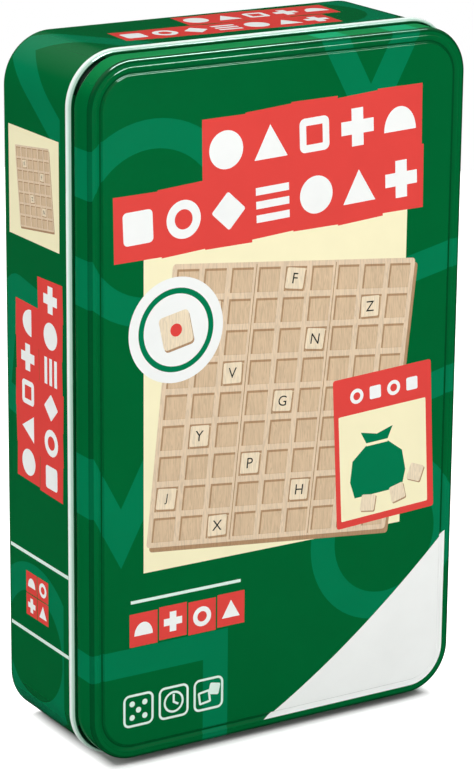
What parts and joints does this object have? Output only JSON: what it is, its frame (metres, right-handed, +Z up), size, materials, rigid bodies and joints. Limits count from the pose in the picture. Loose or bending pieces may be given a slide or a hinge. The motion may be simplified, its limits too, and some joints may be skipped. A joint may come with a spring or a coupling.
{
  "type": "travel word game case",
  "caption": "Tinplate case with a lift-off lid that holds wooden letter-tile boards, loose tiles in a cloth bag and a folded leaflet; it stands or lies flat.",
  "frame": {"origin": "middle of the footprint on the surface that the case stands on", "axes": "+Z up along the case's long side, the lid faces -Y, and +X is to the right as seen from the lid's side"},
  "size_m": [0.1216, 0.046, 0.1976],
  "materials": {
    "printed_tin": "green printed and varnished tinplate, with a bare white coated bead at the mouth",
    "bare_tin": "plain tinplate",
    "plywood": "pale plywood, sanded",
    "grid_wood": "pale plywood, laser cut and sanded",
    "tile_wood": "pale solid wood with a printed letter",
    "magnet_nickel": "nickel plate",
    "leaflet_paper": "uncoated paper",
    "bag_cloth": "plain woven cotton",
    "bag_cord": "twisted cotton cord"
  },
  "bodies": {
    "case": {"case_wall": "printed_tin", "base_plate": "bare_tin"},
    "lid": {"lid": "printed_tin"},
    "leaflet": {"leaflet": "leaflet_paper"},
    "board_1": {"board_1_base": "plywood", "board_1_grid": "grid_wood", "board_1_magnet_1": "magnet_nickel", "board_1_magnet_2": "magnet_nickel", "board_1_magnet_3": "magnet_nickel", "board_1_magnet_4": "magnet_nickel"},
    "board_2": {"board_2_base": "plywood", "board_2_grid": "grid_wood", "board_2_magnet_1": "magnet_nickel", "board_2_magnet_2": "magnet_nickel", "board_2_magnet_3": "magnet_nickel", "board_2_magnet_4": "magnet_nickel"},
    "board_3": {"board_3_base": "plywood", "board_3_grid": "grid_wood", "board_3_magnet_1": "magnet_nickel", "board_3_magnet_2": "magnet_nickel", "board_3_magnet_3": "magnet_nickel", "board_3_magnet_4": "magnet_nickel"},
    "bag": {"tile_bag": "bag_cloth", "bag_cord": "bag_cord"},
    "tile_01": {"tile_01": "tile_wood"},
    "tile_02": {"tile_02": "tile_wood"},
    "tile_03": {"tile_03": "tile_wood"},
    "tile_04": {"tile_04": "tile_wood"},
    "tile_05": {"tile_05": "tile_wood"},
    "tile_06": {"tile_06": "tile_wood"},
    "tile_07": {"tile_07": "tile_wood"},
    "tile_08": {"tile_08": "tile_wood"},
    "tile_09": {"tile_09": "tile_wood"},
    "tile_10": {"tile_10": "tile_wood"},
    "tile_11": {"tile_11": "tile_wood"},
    "tile_12": {"tile_12": "tile_wood"},
    "tile_13": {"tile_13": "tile_wood"},
    "tile_14": {"tile_14": "tile_wood"},
    "tile_15": {"tile_15": "tile_wood"},
    "tile_16": {"tile_16": "tile_wood"}
  },
  "joints": [
    {"name": "lid_lift", "type": "slide", "parent": "case", "child": "lid", "axis": [0, -1, 0], "range_m": [0, 0.16]},
    {"name": "leaflet_lift", "type": "slide", "parent": "case", "child": "leaflet", "axis": [0, -1, 0], "range_m": [0, 0.048]},
    {"name": "board_1_lift", "type": "slide", "parent": "case", "child": "board_1", "axis": [0, -1, 0], "range_m": [0, 0.064]},
    {"name": "board_2_lift", "type": "slide", "parent": "case", "child": "board_2", "axis": [0, -1, 0], "range_m": [0, 0.088]},
    {"name": "board_3_lift", "type": "slide", "parent": "case", "child": "board_3", "axis": [0, -1, 0], "range_m": [0, 0.112]},
    {"name": "bag_lift", "type": "slide", "parent": "case", "child": "bag", "axis": [0, -1, 0], "range_m": [0, 0.08]},
    {"name": "tile_01_lift", "type": "slide", "parent": "board_3", "child": "tile_01", "axis": [0, -1, 0], "range_m": [0, 0.024]},
    {"name": "tile_02_lift", "type": "slide", "parent": "board_3", "child": "tile_02", "axis": [0, -1, 0], "range_m": [0, 0.024]},
    {"name": "tile_03_lift", "type": "slide", "parent": "board_3", "child": "tile_03", "axis": [0, -1, 0], "range_m": [0, 0.024]},
    {"name": "tile_04_lift", "type": "slide", "parent": "board_3", "child": "tile_04", "axis": [0, -1, 0], "range_m": [0, 0.024]},
    {"name": "tile_05_lift", "type": "slide", "parent": "board_3", "child": "tile_05", "axis": [0, -1, 0], "range_m": [0, 0.024]},
    {"name": "tile_06_lift", "type": "slide", "parent": "board_3", "child": "tile_06", "axis": [0, -1, 0], "range_m": [0, 0.024]},
    {"name": "tile_07_lift", "type": "slide", "parent": "board_3", "child": "tile_07", "axis": [0, -1, 0], "range_m": [0, 0.024]},
    {"name": "tile_08_lift", "type": "slide", "parent": "board_3", "child": "tile_08", "axis": [0, -1, 0], "range_m": [0, 0.024]},
    {"name": "tile_09_lift", "type": "slide", "parent": "board_3", "child": "tile_09", "axis": [0, -1, 0], "range_m": [0, 0.024]},
    {"name": "tile_10_lift", "type": "slide", "parent": "board_3", "child": "tile_10", "axis": [0, -1, 0], "range_m": [0, 0.024]},
    {"name": "tile_11_lift", "type": "slide", "parent": "board_3", "child": "tile_11", "axis": [0, -1, 0], "range_m": [0, 0.024]},
    {"name": "tile_12_lift", "type": "slide", "parent": "board_3", "child": "tile_12", "axis": [0, -1, 0], "range_m": [0, 0.024]},
    {"name": "tile_13_lift", "type": "slide", "parent": "board_3", "child": "tile_13", "axis": [0, -1, 0], "range_m": [0, 0.024]},
    {"name": "tile_14_lift", "type": "slide", "parent": "board_3", "child": "tile_14", "axis": [0, -1, 0], "range_m": [0, 0.024]},
    {"name": "tile_15_lift", "type": "slide", "parent": "board_3", "child": "tile_15", "axis": [0, -1, 0], "range_m": [0, 0.024]},
    {"name": "tile_16_lift", "type": "slide", "parent": "board_3", "child": "tile_16", "axis": [0, -1, 0], "range_m": [0, 0.024]}
  ],
  "couplings": [
    {"joint": "leaflet_lift", "follows": "lid_lift", "ratio": 0.3},
    {"joint": "board_1_lift", "follows": "lid_lift", "ratio": 0.4},
    {"joint": "board_2_lift", "follows": "lid_lift", "ratio": 0.55},
    {"joint": "board_3_lift", "follows": "lid_lift", "ratio": 0.7},
    {"joint": "bag_lift", "follows": "lid_lift", "ratio": 0.5},
    {"joint": "tile_01_lift", "follows": "lid_lift", "ratio": 0.15},
    {"joint": "tile_02_lift", "follows": "lid_lift", "ratio": 0.15},
    {"joint": "tile_03_lift", "follows": "lid_lift", "ratio": 0.15},
    {"joint": "tile_04_lift", "follows": "lid_lift", "ratio": 0.15},
    {"joint": "tile_05_lift", "follows": "lid_lift", "ratio": 0.15},
    {"joint": "tile_06_lift", "follows": "lid_lift", "ratio": 0.15},
    {"joint": "tile_07_lift", "follows": "lid_lift", "ratio": 0.15},
    {"joint": "tile_08_lift", "follows": "lid_lift", "ratio": 0.15},
    {"joint": "tile_09_lift", "follows": "lid_lift", "ratio": 0.15},
    {"joint": "tile_10_lift", "follows": "lid_lift", "ratio": 0.15},
    {"joint": "tile_11_lift", "follows": "lid_lift", "ratio": 0.15},
    {"joint": "tile_12_lift", "follows": "lid_lift", "ratio": 0.15},
    {"joint": "tile_13_lift", "follows": "lid_lift", "ratio": 0.15},
    {"joint": "tile_14_lift", "follows": "lid_lift", "ratio": 0.15},
    {"joint": "tile_15_lift", "follows": "lid_lift", "ratio": 0.15},
    {"joint": "tile_16_lift", "follows": "lid_lift", "ratio": 0.15}
  ]
}
